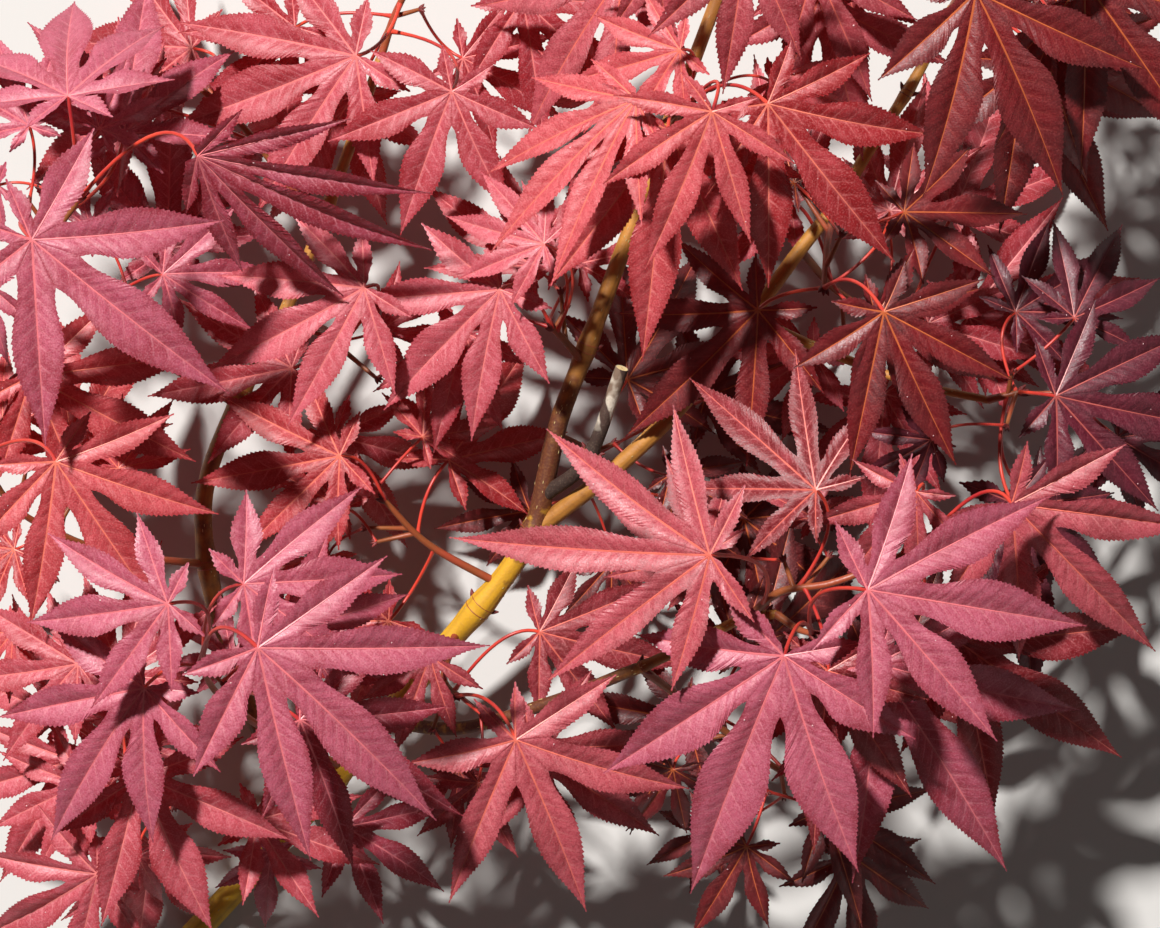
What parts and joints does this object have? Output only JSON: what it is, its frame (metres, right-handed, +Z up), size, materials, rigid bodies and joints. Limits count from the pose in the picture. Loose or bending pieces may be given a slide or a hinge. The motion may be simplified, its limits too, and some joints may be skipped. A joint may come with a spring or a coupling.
{
  "type": "japanese maple branch",
  "caption": "Cut leafy branch of a red-leaved Japanese maple: a main stem, side boughs and a cut stub, with sprays of long-stalked palmate leaves. It lies on its cut end and lowest leaves.",
  "frame": {"origin": "at floor level, under the middle of the box round the whole branch", "axes": "+X along the longest side of the lying branch, +Y across it, away from the cut end, +Z up from the floor"},
  "size_m": [0.3398, 0.284, 0.1436],
  "materials": {
    "bark": "smooth young bark, satin",
    "cut_wood": "weathered dead twig, matt",
    "leaf_mauve": "thin leaf, satin",
    "leaf_rose": "thin leaf, satin",
    "leaf_coral": "thin leaf, satin",
    "leaf_crimson": "thin leaf, satin",
    "leaf_maroon": "thin leaf, satin",
    "leaf_purple": "thin leaf, satin"
  },
  "bodies": {
    "root": {"main_stem": "bark", "bough_right": "bark", "cut_stub": "cut_wood", "bough_left": "bark", "bough_low_right": "bark", "bough_far_right": "bark", "spray_low_left_front": "leaf_mauve", "spray_low_left_back": "leaf_rose", "spray_left": "leaf_coral", "spray_upper_left": "leaf_mauve", "spray_top_left": "leaf_rose", "spray_top_left_back": "leaf_rose", "spray_upper_inner": "leaf_rose", "spray_centre_left": "leaf_rose", "spray_inner_left": "leaf_coral", "spray_low_centre": "leaf_crimson", "spray_top_centre": "leaf_coral", "spray_tip": "leaf_crimson", "spray_top_right": "leaf_maroon", "spray_mid_right": "leaf_maroon", "spray_right": "leaf_mauve", "spray_right_outer": "leaf_crimson", "spray_far_right": "leaf_purple", "spray_low_right": "leaf_maroon", "spray_back_centre": "leaf_maroon", "spray_back_right": "leaf_rose"}
  },
  "joints": []
}
